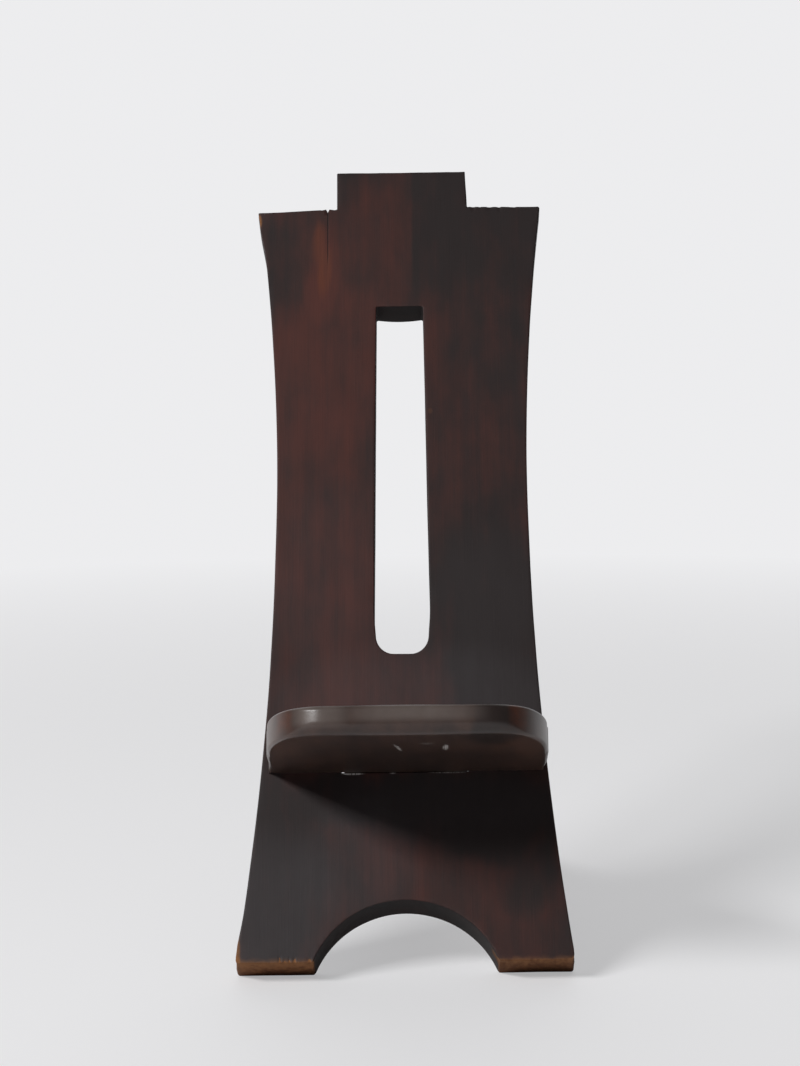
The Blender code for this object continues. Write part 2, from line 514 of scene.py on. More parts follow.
@dataclass(frozen=True)
class StainedWood:
    """Dark stain rubbed over a close-grained hardwood, redder where it is thin, black where it is thick."""

    name: str
    black: Colour = (0.0125, 0.0070, 0.0070)
    red: Colour = (0.0640, 0.0145, 0.0095)
    amber: Colour = (0.1150, 0.0260, 0.0070)
    bare: Colour = (0.2100, 0.0900, 0.0330)
    sap: Colour = (0.0850, 0.0300, 0.0090)
    sawn: Colour = (0.0060, 0.0055, 0.0055)
    # Painted sheen: a grey veil laid where reflection and bounce light fall.
    sheen_veil: Colour = (0.3000, 0.2900, 0.3150)
    # Paler grey of wear, also laid as painted sheen and a painted highlight on the seat's front edge.
    rubbed: Colour = (0.1050, 0.0830, 0.0740)
    # Pale scuffs, also laid as painted glints of light.
    scuff_and_glint: Colour = (0.5500, 0.5200, 0.5000)
    shine: float = 0.35
    roughness: float = 0.57
    roughness_swing: float = 0.10
    bump: float = 0.13
    base_tone: float = 0.40
    cloud_shift: tuple[float, float, float] = (0.0, 0.0, 0.0)
    patches: tuple[StainPatch, ...] = ()
    thin_places: tuple[StainPatch, ...] = ()
    sheen_veil_places: tuple[StainPatch, ...] = ()
    rubbed_sheen_places: tuple[StainPatch, ...] = ()
    bare_places: tuple[StainPatch, ...] = ()
    scuff_and_glints: tuple[StainPatch, ...] = ()
    black_head: bool = False
    bare_feet: bool = False
    recipe: StainRecipe = StainRecipe()

    def paint(self, place: Matrix) -> bpy.types.Material:
        """Build the finish in a board's own axes.

        Args:
            place: the board's place in the chair.

        Returns:
            The finished material.
        """
        material = bpy.data.materials.new(self.name)
        material.use_nodes = True
        paint = Paint(material.node_tree)
        shader = material.node_tree.nodes["Principled BSDF"]
        recipe = self.recipe
        spot = self.board_axes(paint, place)
        shifted = paint.vectors("ADD", spot, self.cloud_shift)
        streaks = paint.cloud(shifted, Figure.STREAKS)
        fibres = paint.cloud(shifted, Figure.FIBRES)
        sawn = paint.attribute("sawn")
        bare = self.bareness(paint, spot, fibres)
        colour = self.stain(paint, spot, shifted, streaks, fibres)
        colour = self.wear_and_sheen(paint, spot, colour, streaks)
        colour = paint.mix(sawn * recipe.sawn_weight, colour, self.sawn)
        colour = paint.mix(bare, colour, self.timber(paint, spot, streaks))
        # Pale scuffs; those along the back board's mortise lip are painted glints of light.
        for mark in self.scuff_and_glints:
            pale_mark = mark.mask(paint, spot) * paint.band(fibres, *recipe.pale_mark_fibres)
            colour = paint.mix(pale_mark, colour, self.scuff_and_glint)
        paint.feed(shader.inputs["Base Color"], colour)
        swing = (paint.cloud(shifted, Figure.DULLNESS) - NOISE_MIDDLE) * self.roughness_swing
        rough = self.roughness + swing + bare * recipe.bare_dullness + sawn * recipe.sawn_dullness
        paint.feed(shader.inputs["Roughness"], rough)
        paint.feed(shader.inputs["Specular IOR Level"], self.shine)
        height = fibres * recipe.relief_fibres + streaks * recipe.relief_streaks
        relief = {"Height": height, "Strength": self.bump, "Distance": recipe.relief_distance}
        paint.feed(shader.inputs["Normal"], paint.node("ShaderNodeBump", relief))
        return material

    def timber(self, paint: Paint, spot: Wire, streaks: Wire) -> Wire:
        """The bare wood's colour, from pale to dark: darker in streaks and blotches, on the right foot and
        towards the floor.

        Args:
            paint: material to add the nodes to.
            spot: coordinates in the board's own axes.
            streaks: broad grain, from 0 to 1.

        Returns:
            The colour.
        """
        recipe = self.recipe
        across, depth, _ = paint.parts(spot)
        darkening = streaks * recipe.darkening_streaks + paint.cloud(spot, Figure.BLOTCH)
        darkening = darkening + across * recipe.darkening_across
        darkening = darkening + paint.band(depth, *recipe.darkening_depth) * recipe.darkening_depth_weight
        return paint.mix(paint.band(darkening, *recipe.darkening_range), self.bare, self.sap)

    def wear_and_sheen(self, paint: Paint, spot: Wire, colour: Wire, streaks: Wire) -> Wire:
        """Lay painted sheen over the stain: a grey veil, and a paler grey that is partly wear.

        Args:
            paint: material to add the nodes to.
            spot: coordinates in the board's own axes.
            colour: the stain's colour.
            streaks: broad grain, from 0 to 1.

        Returns:
            The colour with both laid over it.
        """
        recipe = self.recipe
        uneven = paint.cloud(spot, Figure.UNEVEN)
        for place in self.rubbed_sheen_places:
            worn = recipe.rubbed_sheen_base + uneven * recipe.rubbed_sheen_uneven
            colour = paint.mix(place.mask(paint, spot) * worn, colour, self.rubbed)
        for place in self.sheen_veil_places:
            veil = recipe.veil_base + uneven * recipe.veil_uneven + streaks * recipe.veil_streaks
            colour = paint.mix(place.mask(paint, spot) * veil, colour, self.sheen_veil)
        return colour

    def stain(self, paint: Paint, spot: Wire, shifted: Wire, streaks: Wire, fibres: Wire) -> Wire:
        """The stain's colour, from black through red to amber, with some patches of painted shade.

        Args:
            paint: material to add the nodes to.
            spot: coordinates in the board's own axes.
            shifted: the same, moved so that each board has its own clouds.
            streaks: broad grain, from 0 to 1.
            fibres: fine grain, from 0 to 1.

        Returns:
            The colour.
        """
        recipe = self.recipe
        wander = paint.cloud(shifted, Figure.WANDER, "Color")
        drift = paint.vectors("SUBTRACT", wander, (NOISE_MIDDLE,) * 3)
        strayed = paint.vectors("ADD", spot, paint.vectors("MULTIPLY", drift, recipe.stray))
        clouds = paint.cloud(shifted, Figure.CLOUDS)
        mottle = paint.cloud(shifted, Figure.MOTTLE)
        tone = self.base_tone + (clouds - NOISE_MIDDLE) * recipe.cloud_weight
        tone = tone + (mottle - NOISE_MIDDLE) * recipe.mottle_weight
        tone = tone + (streaks - NOISE_MIDDLE) * recipe.streak_weight
        for patch in self.patches:
            tone = tone + patch.mask(paint, strayed)
        if self.black_head:
            across, _, along = paint.parts(spot)
            edge = paint.band(across + (streaks - NOISE_MIDDLE) * recipe.head_fray, *recipe.head_edge)
            level = paint.band(along + (clouds - NOISE_MIDDLE) * recipe.head_drift, *recipe.head_level)
            tone = tone - edge * level * recipe.head_depth
        colour = paint.mix(paint.band(tone, *recipe.tone_range), self.black, self.red)
        for place in self.thin_places:
            grain = paint.band(streaks, *recipe.thin_streaks) * recipe.thin_streak_weight
            thin = place.mask(paint, spot) * (grain + mottle * recipe.thin_mottle_weight)
            colour = paint.mix(thin, colour, self.amber)
        dark = paint.band(fibres, *recipe.fibre_range) * recipe.fibre_weight
        return paint.mix(dark, colour, self.black)

    def bareness(self, paint: Paint, spot: Wire, fibres: Wire) -> Wire:
        """Where the stain has gone and bare wood shows.

        Args:
            paint: material to add the nodes to.
            spot: coordinates in the board's own axes.
            fibres: fine grain, from 0 to 1.

        Returns:
            A mask from 0 to 1.
        """
        recipe = self.recipe
        worn = paint.attribute("bare") + (fibres - NOISE_MIDDLE) * recipe.bare_fray
        bare = paint.band(worn, *recipe.bare_range)
        for place in self.bare_places:
            bare = bare + place.mask(paint, spot)
        if self.bare_feet:
            bare = bare + self.foot_wear(paint, spot)
        return paint.band(bare, 0.0, 1.0)

    def foot_wear(self, paint: Paint, spot: Wire) -> Wire:
        """How far the feet have lost their stain at the floor, less so in a darker band nearest the floor.

        Args:
            paint: material to add the nodes to.
            spot: coordinates in the board's own axes.

        Returns:
            The loss, 0 where there is none.
        """
        recipe = self.recipe
        _, depth, along = paint.parts(spot)
        grit = paint.cloud(spot, Figure.GRIT)
        ragged = grit - NOISE_MIDDLE
        rubbed = 1.0 - paint.band(along + ragged * recipe.rub_fray, *recipe.rub_level)
        cut = paint.band(depth, *recipe.cut_depth) * (1.0 - paint.band(along, *recipe.cut_level))
        floor_band = paint.band(depth + ragged * recipe.floor_band_fray, *recipe.floor_band_depth)
        speckle = recipe.grit_base + paint.band(grit, *recipe.grit_range) * recipe.grit_weight
        return (rubbed * recipe.rub_weight + cut) * (1.0 - floor_band * recipe.floor_band_weight) * speckle

    @staticmethod
    def board_axes(paint: Paint, place: Matrix) -> Wire:
        """Coordinates in a board's own axes: across, depth and along.

        Args:
            paint: material to add the nodes to.
            place: the board's place in the chair.

        Returns:
            The coordinates in metres.
        """
        chair = paint.node("ShaderNodeTexCoord", output="Object")
        turn = {"Vector": chair, "Location": place.to_translation(), "Rotation": place.to_euler()}
        return paint.node("ShaderNodeMapping", turn, {"vector_type": "TEXTURE"})


def finish_piece(
    name: str,
    bm: bmesh.types.BMesh,
    place: Matrix,
    material: bpy.types.Material,
) -> bpy.types.Object:
    """Turn a board's mesh into a finished piece at the chair's origin.

    Args:
        name: the piece's name.
        bm: mesh in the board's own axes; it is freed.
        place: the board's place in the chair.
        material: its finish.

    Returns:
        The new object.
    """
    bmesh.ops.transform(bm, matrix=place, verts=bm.verts)
    bmesh.ops.recalc_face_normals(bm, faces=bm.faces)
    mesh = bpy.data.meshes.new(name)
    bm.to_mesh(mesh)
    bm.free()
    mesh.shade_smooth()
    mesh.materials.append(material)
    piece = bpy.data.objects.new(name, mesh)
    bpy.context.scene.collection.objects.link(piece)
    weigh = piece.modifiers.new("even_shading", "WEIGHTED_NORMAL")
    weigh.weight = SHADING_WEIGHT
    return piece


@dataclass
class BackBoard:
    """The leaning board: two feet and an arch, a mortise, a long slot, shoulders and a tab."""

    # Main sizes
    lean: float = radians(31.0)
    seat_slope: float = radians(21.0)
    base_width: float = 0.360
    foot_width: float = 0.081
    waist_width: float = 0.281
    shoulder_width: float = 0.325
    tab_width: float = 0.149
    seat_level: float = 0.212
    waist_rise: float = 0.338
    slot_rise: float = 0.136
    slot_length: float = 0.428
    head_length: float = 0.127
    tab_height: float = 0.048
    foot_thickness: float = 0.054
    head_thickness: float = 0.033
    foot_flat: float = 0.007
    arch_rise: float = 0.068

    # Slot and mortise
    slot_top_width: float = 0.0535
    slot_bottom_width: float = 0.0625
    slot_top_radius: float = 0.0025
    slot_bottom_radius: float = 0.021
    mortise_width: float = 0.139
    mortise_below: float = 0.0003
    mortise_height: float = 0.0333

    # Split in the left shoulder
    split_across: float = 0.0836
    split_half_width: float = 0.0020
    split_notch: float = 0.0042
    split_beside: float = 4.0
    split_bottom: float = 0.826
    split_run: float = 0.020
    split_depth: float = 0.0005
    split_line: float = 0.0004
    split_rim: float = 1.1
    split_cuts: tuple[float, ...] = (-1.6, -1.0, 0.0, 1.0, 1.6)

    # Tab and shoulders out of true
    tab_shift: float = 0.0018
    tab_lean: float = 0.0016
    tab_blend: Span = (-0.004, 0.001)
    tab_reach: float = 0.52
    left_shoulder_drop: float = 0.0025
    left_flare: float = 0.0025
    flare_top: Span = (0.84, 0.89)
    flare_foot: float = 0.06
    flare_edge: Span = (-0.120, -0.160)
    right_shoulder_lift: float = 0.0015
    right_lift_start: Span = (-0.002, 0.004)
    right_lift_fall: float = 0.7

    # Slot and feet out of true
    slot_shift: float = 0.0013
    slot_blend: Span = (0.030, 0.004)
    slot_side: Span = (0.075, 0.036)
    slot_pinch: float = 0.085
    pinch_rise: Span = (0.056, 0.010)
    slot_bottom_lift: float = 0.0013
    lift_reach: float = 0.028
    slot_top_sag: float = 0.0020
    sag_reach: float = 0.020
    foot_round: float = 0.0030
    foot_round_width: float = 0.012
    foot_round_height: float = 0.006

    # Arrises, wear and sawn walls
    arris: float = 0.0014
    arris_angle: float = radians(28.0)
    corner_round: float = 0.0025
    ragged: float = 0.0006
    ragged_scale: float = 90.0
    arris_turn: Span = (0.25, 0.60)
    face_turn: Span = (0.97, 0.85)
    joint_reach: Span = (0.03, 0.06)
    joint_margin: float = 0.015
    bare_bite: float = 0.0012
    chip_smoothing: float = 0.4
    sawn_inset: Span = (0.003, 0.012)
    sawn_turn: Span = (0.25, 0.85)
    sawn_outside: float = 0.35

    # Fineness of the mesh
    cell: float = 0.007
    foot_cuts: Span = (0.0018, 0.0036)
    arris_segments: int = 2
    corner_segments: int = 4
    arch_steps: int = 26
    side_steps: int = 70
    slot_top_steps: int = 5
    slot_bottom_steps: int = 14
    fine_bands: tuple[FineBand, ...] = (
        FineBand((-0.146, -0.010, -0.001), (-0.092, 0.016, 0.016)),
        FineBand((0.080, -0.010, 0.898), (0.150, 0.006, 0.910)),
    )
    finish: StainedWood = field(
        default_factory=lambda: StainedWood(
            "dark_back_stain",
            black_head=True,
            bare_feet=True,
            patches=(
                StainPatch(-0.090, 0.700, 0.100, 0.160, 0.30),
                StainPatch(-0.090, 0.470, 0.100, 0.200, 0.24),
                StainPatch(-0.030, 0.840, 0.060, 0.110, 0.16),
                StainPatch(-0.090, 0.832, 0.024, 0.070, 0.42),
                StainPatch(-0.060, 0.940, 0.060, 0.060, -0.20),
                StainPatch(-0.140, 0.830, 0.045, 0.100, -0.22),
                StainPatch(0.090, 0.430, 0.085, 0.140, -0.44),
                StainPatch(0.105, 0.300, 0.080, 0.075, -0.38),
                StainPatch(0.090, 0.610, 0.060, 0.080, 0.04),
                StainPatch(0.110, 0.740, 0.060, 0.080, -0.15),
                StainPatch(-0.035, 0.290, 0.120, 0.065, 0.28),
                StainPatch(-0.152, 0.100, 0.075, 0.180, -0.38),
                StainPatch(-0.140, 0.115, 0.012, 0.080, -0.25),
                StainPatch(0.020, 0.095, 0.100, 0.060, 0.12),
                # Painted shade: blacker stain where the seat's shadow falls below it.
                StainPatch(0.060, 0.170, 0.120, 0.060, -0.45),
                StainPatch(-0.060, 0.185, 0.070, 0.045, -0.35),
                # Painted shade: darker at the lower right, where the seat's shadow reaches further down.
                StainPatch(0.140, 0.088, 0.046, 0.048, -0.34),
                StainPatch(0.142, 0.146, 0.034, 0.044, -0.26),
            ),
            thin_places=(
                StainPatch(-0.0940, 0.860, 0.0100, 0.034, 0.36, 0.06),
                StainPatch(-0.0872, 0.822, 0.0100, 0.042, 0.50, 0.06),
            ),
            # Painted sheen and bounce light: a paler grey veil above the seat, in its shadow, low on the
            # left foot and in broad patches on both sides.
            sheen_veil_places=(
                StainPatch(0.020, 0.290, 0.200, 0.085, 0.046),
                StainPatch(0.090, 0.410, 0.080, 0.110, 0.014),
                StainPatch(-0.140, 0.040, 0.090, 0.130, 0.050),
                StainPatch(-0.050, 0.110, 0.080, 0.085, 0.034),
                StainPatch(0.040, 0.175, 0.150, 0.055, 0.025),
                StainPatch(-0.080, 0.440, 0.090, 0.140, 0.014),
            ),
            bare_places=(
                StainPatch(0.0325, 0.643, 0.0040, 0.0050, 0.25),
                StainPatch(-0.1800, 0.012, 0.0055, 0.028, 0.7),
                StainPatch(0.0970, 0.010, 0.0090, 0.028, 0.6, above=0.006, below=0.024),
                StainPatch(-0.1635, 0.888, 0.0045, 0.013, 0.8, below=0.006),
            ),
            # Painted light: pale marks along the mortise's lower lip stand for light through the gap under
            # the tongue, glinting on the lip.
            scuff_and_glints=(
                StainPatch(-0.0560, 0.2106, 0.0150, 0.0018, 0.95, below=0.004),
                StainPatch(-0.0125, 0.2108, 0.0042, 0.0013, 0.70, below=0.004),
                StainPatch(0.0475, 0.2110, 0.0240, 0.0013, 0.65, below=0.004),
            ),
        )
    )
    work: HandWork = field(default_factory=HandWork)
    chips: tuple[Chip, ...] = (
        Chip((-0.1640, 0.004, 0.888), (0.005, 0.012, 0.014), 0.0012),
        Chip((-0.1335, -0.001, 0.001), (0.0015, 0.006, 0.0075), 0.0016),
        Chip((-0.1285, -0.001, 0.000), (0.0026, 0.006, 0.0035), 0.0012),
        Chip((-0.1235, -0.001, 0.001), (0.0013, 0.006, 0.0045), 0.0013),
        Chip((-0.1180, -0.001, 0.001), (0.0016, 0.006, 0.0062), 0.0014),
        Chip((-0.1030, 0.002, 0.001), (0.0040, 0.008, 0.0050), 0.0010),
        Chip((0.1010, 0.010, 0.002), (0.007, 0.012, 0.008), 0.0018),
        Chip((0.1795, 0.008, 0.001), (0.006, 0.012, 0.009), 0.0020),
        Chip((-0.1810, 0.012, 0.004), (0.006, 0.020, 0.018), 0.0014),
        Chip((0.0850, 0.000, 0.903), (0.0030, 0.004, 0.0030), 0.0010, False),
        Chip((0.0930, 0.000, 0.903), (0.0022, 0.004, 0.0024), 0.0009, False),
        Chip((0.1040, 0.000, 0.903), (0.0040, 0.004, 0.0026), 0.0010, False),
        Chip((0.1155, 0.000, 0.903), (0.0026, 0.004, 0.0030), 0.0011, False),
        Chip((0.1310, 0.000, 0.903), (0.0045, 0.004, 0.0024), 0.0007, False),
    )

    @property
    def slot_bottom(self) -> float:
        """Level of the slot's lower end."""
        return self.seat_level + self.slot_rise

    @property
    def slot_top(self) -> float:
        """Level of the slot's upper end."""
        return self.slot_bottom + self.slot_length

    @property
    def shoulder_level(self) -> float:
        """Level of the shoulders."""
        return self.slot_top + self.head_length

    @property
    def length(self) -> float:
        """Level of the tab's top."""
        return self.shoulder_level + self.tab_height

    @property
    def place(self) -> Matrix:
        """The board's place in the chair, from the frame's own box.

        Returns:
            The turn and move from the board's own axes.
        """
        low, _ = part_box("back_board")
        worn_off = self.foot_flat * sin(self.lean) * cos(self.lean)
        height = self.foot_thickness * sin(self.lean) - worn_off
        return Matrix.Translation((0.0, low.y, height)) @ Matrix.Rotation(-self.lean, 4, "X")

    @property
    def seat_root(self) -> Vector:
        """Where the seat's underside meets the board's front face."""
        return self.place @ Vector((0.0, 0.0, self.seat_level))

    def thickness(self, level: float) -> float:
        """Thickness, which thins evenly from foot to tab."""
        return self.foot_thickness + (self.head_thickness - self.foot_thickness) * level / self.length

    def half_width(self, level: float) -> float:
        """Half width, which draws in to the waist from both ends.

        Args:
            level: height along the board.

        Returns:
            The half width there.
        """
        waist = self.seat_level + self.waist_rise
        if level < waist:
            end_width, end_level = self.base_width, 0.0
        else:
            end_width, end_level = self.shoulder_width, self.shoulder_level
        share = (level - waist) / (end_level - waist)
        return (self.waist_width + (end_width - self.waist_width) * share**2) / 2

    def arch(self) -> list[Point]:
        """Right half of the arch, from its crown down to the foot.

        Returns:
            The points, across and along.
        """
        width = self.base_width - 2 * self.foot_width
        radius = (width**2 / 4 + self.arch_rise**2) / (2 * self.arch_rise)
        half_turn = atan2(width / 2, radius - self.arch_rise)
        drop = self.arch_rise - radius
        turns = [half_turn * share for share in steps(self.arch_steps)]
        return [(radius * sin(turn), drop + radius * cos(turn)) for turn in turns]

    def side(self) -> list[Point]:
        """Right side, from the foot up to the shoulder."""
        levels = [self.shoulder_level * share for share in steps(self.side_steps)]
        return [(self.half_width(level), level) for level in levels]

    def split(self) -> list[Point]:
        """Notch at the top of the split in the shoulder, with short lengths of shoulder beside it.

        Returns:
            The points, across and along, from the outside in.
        """
        wide = self.split_half_width
        away = self.split_beside * wide
        steps_in = (away, wide, 0.0, -wide, -away)
        drops = (0.0, 0.0, self.split_notch, 0.0, 0.0)
        return [(self.split_across + x, self.shoulder_level - z) for x, z in zip(steps_in, drops)]

    def slot(self) -> list[Point]:
        """Right half of the slot, from its top middle down to its bottom middle.

        Returns:
            The points, across and along.
        """
        top, bottom = self.slot_top_radius, self.slot_bottom_radius
        upper = Vector((self.slot_top_width / 2 - top, self.slot_top - top))
        lower = Vector((self.slot_bottom_width / 2 - bottom, self.slot_bottom + bottom))
        points = [(0.0, self.slot_top)]
        for turn in quarter_turns(self.slot_top_steps):
            points.append((upper.x + top * sin(turn), upper.y + top * cos(turn)))
        for turn in quarter_turns(self.slot_bottom_steps):
            points.append((lower.x + bottom * cos(turn), lower.y - bottom * sin(turn)))
        return points + [(0.0, self.slot_bottom)]

    def mortise(self) -> list[Point]:
        """Right half of the mortise's mouth, from its top middle down to its bottom middle.

        Returns:
            The points, across and along.
        """
        cant = cos(self.lean - self.seat_slope)
        low = self.seat_level - self.mortise_below / cant
        high = low + self.mortise_height / cant
        half = self.mortise_width / 2
        return [(0.0, high), (half, high), (half, low), (0.0, low)]

    def half_outline(self, with_split: bool) -> list[Point]:
        """One half of the front face as a ring, with the openings along the middle.

        Args:
            with_split: whether this half's shoulder is split.

        Returns:
            The ring's points, across and along.
        """
        tab = self.tab_width / 2
        top = [(tab, self.shoulder_level), (tab, self.length), (0.0, self.length)]
        shoulder = self.split() if with_split else []
        return self.arch() + self.side() + shoulder + top + self.slot() + self.mortise()

    def solid(self) -> bmesh.types.BMesh:
        """The board with sharp arrises.

        Returns:
            The closed mesh in the board's own axes.
        """
        bm = bmesh.new()
        for hand in (1.0, -1.0):
            points = self.half_outline(hand < 0.0)
            bm.faces.new([bm.verts.new((x * hand, 0.0, z)) for x, z in points])
        bmesh.ops.remove_doubles(bm, verts=bm.verts, dist=MERGE)
        grown = bmesh.ops.extrude_face_region(bm, geom=bm.faces[:])["geom"]
        canted = {(round(x, MERGE_DIGITS), round(z, MERGE_DIGITS)) for x, z in self.mortise()}
        for vert in grown:
            if isinstance(vert, bmesh.types.BMVert):
                spot = (round(abs(vert.co.x), MERGE_DIGITS), round(vert.co.z, MERGE_DIGITS))
                vert.co.y = self.thickness(vert.co.z)
                if spot in canted:
                    vert.co.z += vert.co.y * tan(self.lean - self.seat_slope)
        bmesh.ops.recalc_face_normals(bm, faces=bm.faces)
        return bm

    def arrises(self, bm: bmesh.types.BMesh) -> list[bmesh.types.BMEdge]:
        """Edges to soften: all that turn, apart from those in the split's notch.

        Args:
            bm: mesh in the board's own axes.

        Returns:
            The edges.
        """
        found = []
        for edge in bm.edges:
            in_split = any(
                abs(vert.co.x + self.split_across) < 2 * self.split_half_width
                and vert.co.z > self.shoulder_level - 2 * self.split_notch
                for vert in edge.verts
            )
            if edge.calc_face_angle(0.0) > self.arris_angle and not in_split:
                found.append(edge)
        return found

    def shoulder_corners(self, bm: bmesh.types.BMesh) -> list[bmesh.types.BMEdge]:
        """Edges through the board at the right shoulder's two corners, which are rounder than the rest.

        Args:
            bm: mesh in the board's own axes.

        Returns:
            The edges.
        """
        found = []
        for edge in bm.edges:
            ends = [vert.co for vert in edge.verts]
            level = all(abs(end.z - self.shoulder_level) < SLIVER for end in ends)
            outer = all(abs(end.x - self.shoulder_width / 2) < SLIVER for end in ends)
            inner = all(abs(end.x - self.tab_width / 2) < SLIVER for end in ends)
            if level and (outer or inner):
                found.append(edge)
        return found

    def tab_move(self, spot: Vector) -> Vector:
        """How far the tab is set aside and leans.

        Args:
            spot: place on the true board.

        Returns:
            The move.
        """
        low, high = self.tab_blend
        head = smooth_share(self.shoulder_level + low, self.shoulder_level + high, spot.z)
        tab = head * (abs(spot.x) < self.tab_width * self.tab_reach)
        leant = tab * smooth_share(self.length, self.shoulder_level, spot.z) * (spot.x > 0.0)
        return Vector((self.tab_shift * tab + self.tab_lean * leant, 0.0, 0.0))

    def flare_move(self, spot: Vector) -> Vector:
        """How far the left side flares at the shoulder and at the foot.

        Args:
            spot: place on the true board.

        Returns:
            The move.
        """
        ends = smooth_share(*self.flare_top, spot.z) + smooth_share(self.flare_foot, 0.0, spot.z)
        edge = smooth_share(*self.flare_edge, spot.x)
        return Vector((-self.left_flare * ends * edge, 0.0, 0.0))

    def foot_move(self, spot: Vector) -> Vector:
        """How far the feet's outer corners are worn round.

        Args:
            spot: place on the true board.

        Returns:
            The move.
        """
        half = self.base_width / 2
        outer = smooth_share(half - self.foot_round_width, half, abs(spot.x))
        tucked = outer * (1.0 - min(max(spot.z / self.foot_round_height, 0.0), 1.0)) ** 2
        return Vector((-spot.x * tucked * self.foot_round / half, 0.0, 0.0))

    def slot_move(self, spot: Vector) -> Vector:
        """How far the slot is set aside, and its lower end narrowed and lifted.

        Args:
            spot: place on the true board.

        Returns:
            The move.
        """
        far, near = self.slot_blend
        run = smooth_share(self.slot_bottom - far, self.slot_bottom - near, spot.z)
        run *= smooth_share(self.slot_top + far, self.slot_top + near, spot.z)
        beside = run * smooth_share(*self.slot_side, abs(spot.x))
        rise = spot.z - self.slot_bottom
        pinch = beside * smooth_share(*self.pinch_rise, rise)
        lift = beside * smooth_share(self.lift_reach, 0.0, abs(rise))
        aside = self.slot_pinch * pinch * spot.x + self.slot_shift * beside
        return Vector((-aside, 0.0, self.slot_bottom_lift * lift))

    def shoulder_move(self, spot: Vector) -> Vector:
        """How far the left shoulder droops and the right one is lifted.

        Args:
            spot: place on the true board.

        Returns:
            The move.
        """
        tab, side = self.tab_width / 2, self.shoulder_width / 2
        head = smooth_share(self.slot_top, self.shoulder_level, spot.z)
        droop = smooth_share(-tab, -side, spot.x)
        start, full = self.right_lift_start
        lift = smooth_share(tab + start, tab + full, spot.x)
        lift *= 1.0 - self.right_lift_fall * smooth_share(tab, side, spot.x)
        move = self.right_shoulder_lift * lift - self.left_shoulder_drop * droop
        return Vector((0.0, 0.0, move * head))

    def sag_move(self, spot: Vector) -> Vector:
        """How far the slot's top sags, more so towards the rear face.

        Args:
            spot: place on the true board.

        Returns:
            The move.
        """
        crown = max(1.0 - (2.0 * spot.x / self.slot_top_width) ** 2, 0.0)
        near_top = 1.0 - smooth_share(0.0, self.sag_reach, abs(spot.z - self.slot_top))
        return Vector((0.0, 0.0, -self.slot_top_sag * crown * near_top * spot.y / self.head_thickness))

    def warp(self, bm: bmesh.types.BMesh) -> None:
        """Move the tab, sides, feet, slot and shoulders out of true, as hand work and wear left them.

        Args:
            bm: mesh in the board's own axes.
        """
        ways = (
            self.tab_move,
            self.flare_move,
            self.foot_move,
            self.slot_move,
            self.shoulder_move,
            self.sag_move,
        )
        for vert in bm.verts:
            spot = vert.co.copy()
            for way in ways:
                vert.co += way(spot)

    def mark_sawn(self, bm: bmesh.types.BMesh) -> None:
        """Mark the walls of the openings and the ends, which are painted near black and duller, less so
        near the outer sides.

        Args:
            bm: mesh in the board's own axes.
        """
        sawn = bm.verts.layers.float.new("sawn")
        bm.normal_update()
        for vert in bm.verts:
            inside = smooth_share(*self.sawn_inset, self.half_width(vert.co.z) - abs(vert.co.x))
            wall = 1.0 - smooth_share(*self.sawn_turn, abs(vert.normal.y))
            vert[sawn] = wall * (self.sawn_outside + (1.0 - self.sawn_outside) * inside)

    def open_split(self, bm: bmesh.types.BMesh) -> None:
        """Press a narrow groove into the front face below the notch.

        Args:
            bm: mesh in the board's own axes.
        """
        sawn = bm.verts.layers.float["sawn"]
        top = self.shoulder_level - self.split_notch / 2
        for vert in bm.verts:
            away = abs(vert.co.x + self.split_across)
            on_line = away < self.split_line * self.split_rim and vert.co.y < self.split_depth
            if on_line and vert.co.z < top:
                run = smooth_share(self.split_bottom, self.split_bottom + self.split_run, vert.co.z)
                vert.co.y += self.split_depth * run * (away < self.split_line / 2)
                vert[sawn] = run

    def unevenness(self, vert: bmesh.types.BMVert) -> float:
        """How far hand work left the surface out of true at a point; none where the seat bears.

        Args:
            vert: point of the mesh.

        Returns:
            The distance outwards.
        """
        near_seat = 1.0 - smooth_share(*self.joint_reach, abs(vert.co.z - self.seat_level))
        held = near_seat * (abs(vert.co.x) < self.base_width / 2 - self.joint_margin)
        turn = abs(vert.normal.y)
        corner = smooth_share(*self.arris_turn, turn) * smooth_share(*self.face_turn, turn)
        nibble = max(noise.noise(vert.co * self.ragged_scale), 0.0) * self.ragged * corner
        return (self.work.offset_at(vert.co) - nibble) * (1.0 - held)

    def wear(self, bm: bmesh.types.BMesh) -> None:
        """Move the surface by hand-tool waves and chips, and mark the bare wood.

        Args:
            bm: mesh in the board's own axes.
        """
        bare = bm.verts.layers.float.new("bare")
        bm.normal_update()
        moves = []
        bitten = []
        for vert in bm.verts:
            bites = [chip.depth_at(vert.co) for chip in self.chips]
            bite = sum(bites)
            if bite > 0.0:
                bitten.append(vert)
            moves.append(vert.normal * (self.unevenness(vert) - bite))
            fresh = sum(depth for chip, depth in zip(self.chips, bites) if chip.fresh)
            vert[bare] = min(fresh / self.bare_bite, 1.0)
        for vert, move in zip(bm.verts, moves):
            vert.co += move
        bmesh.ops.smooth_vert(
            bm,
            verts=bitten,
            factor=self.chip_smoothing,
            use_axis_x=True,
            use_axis_y=True,
            use_axis_z=True,
        )

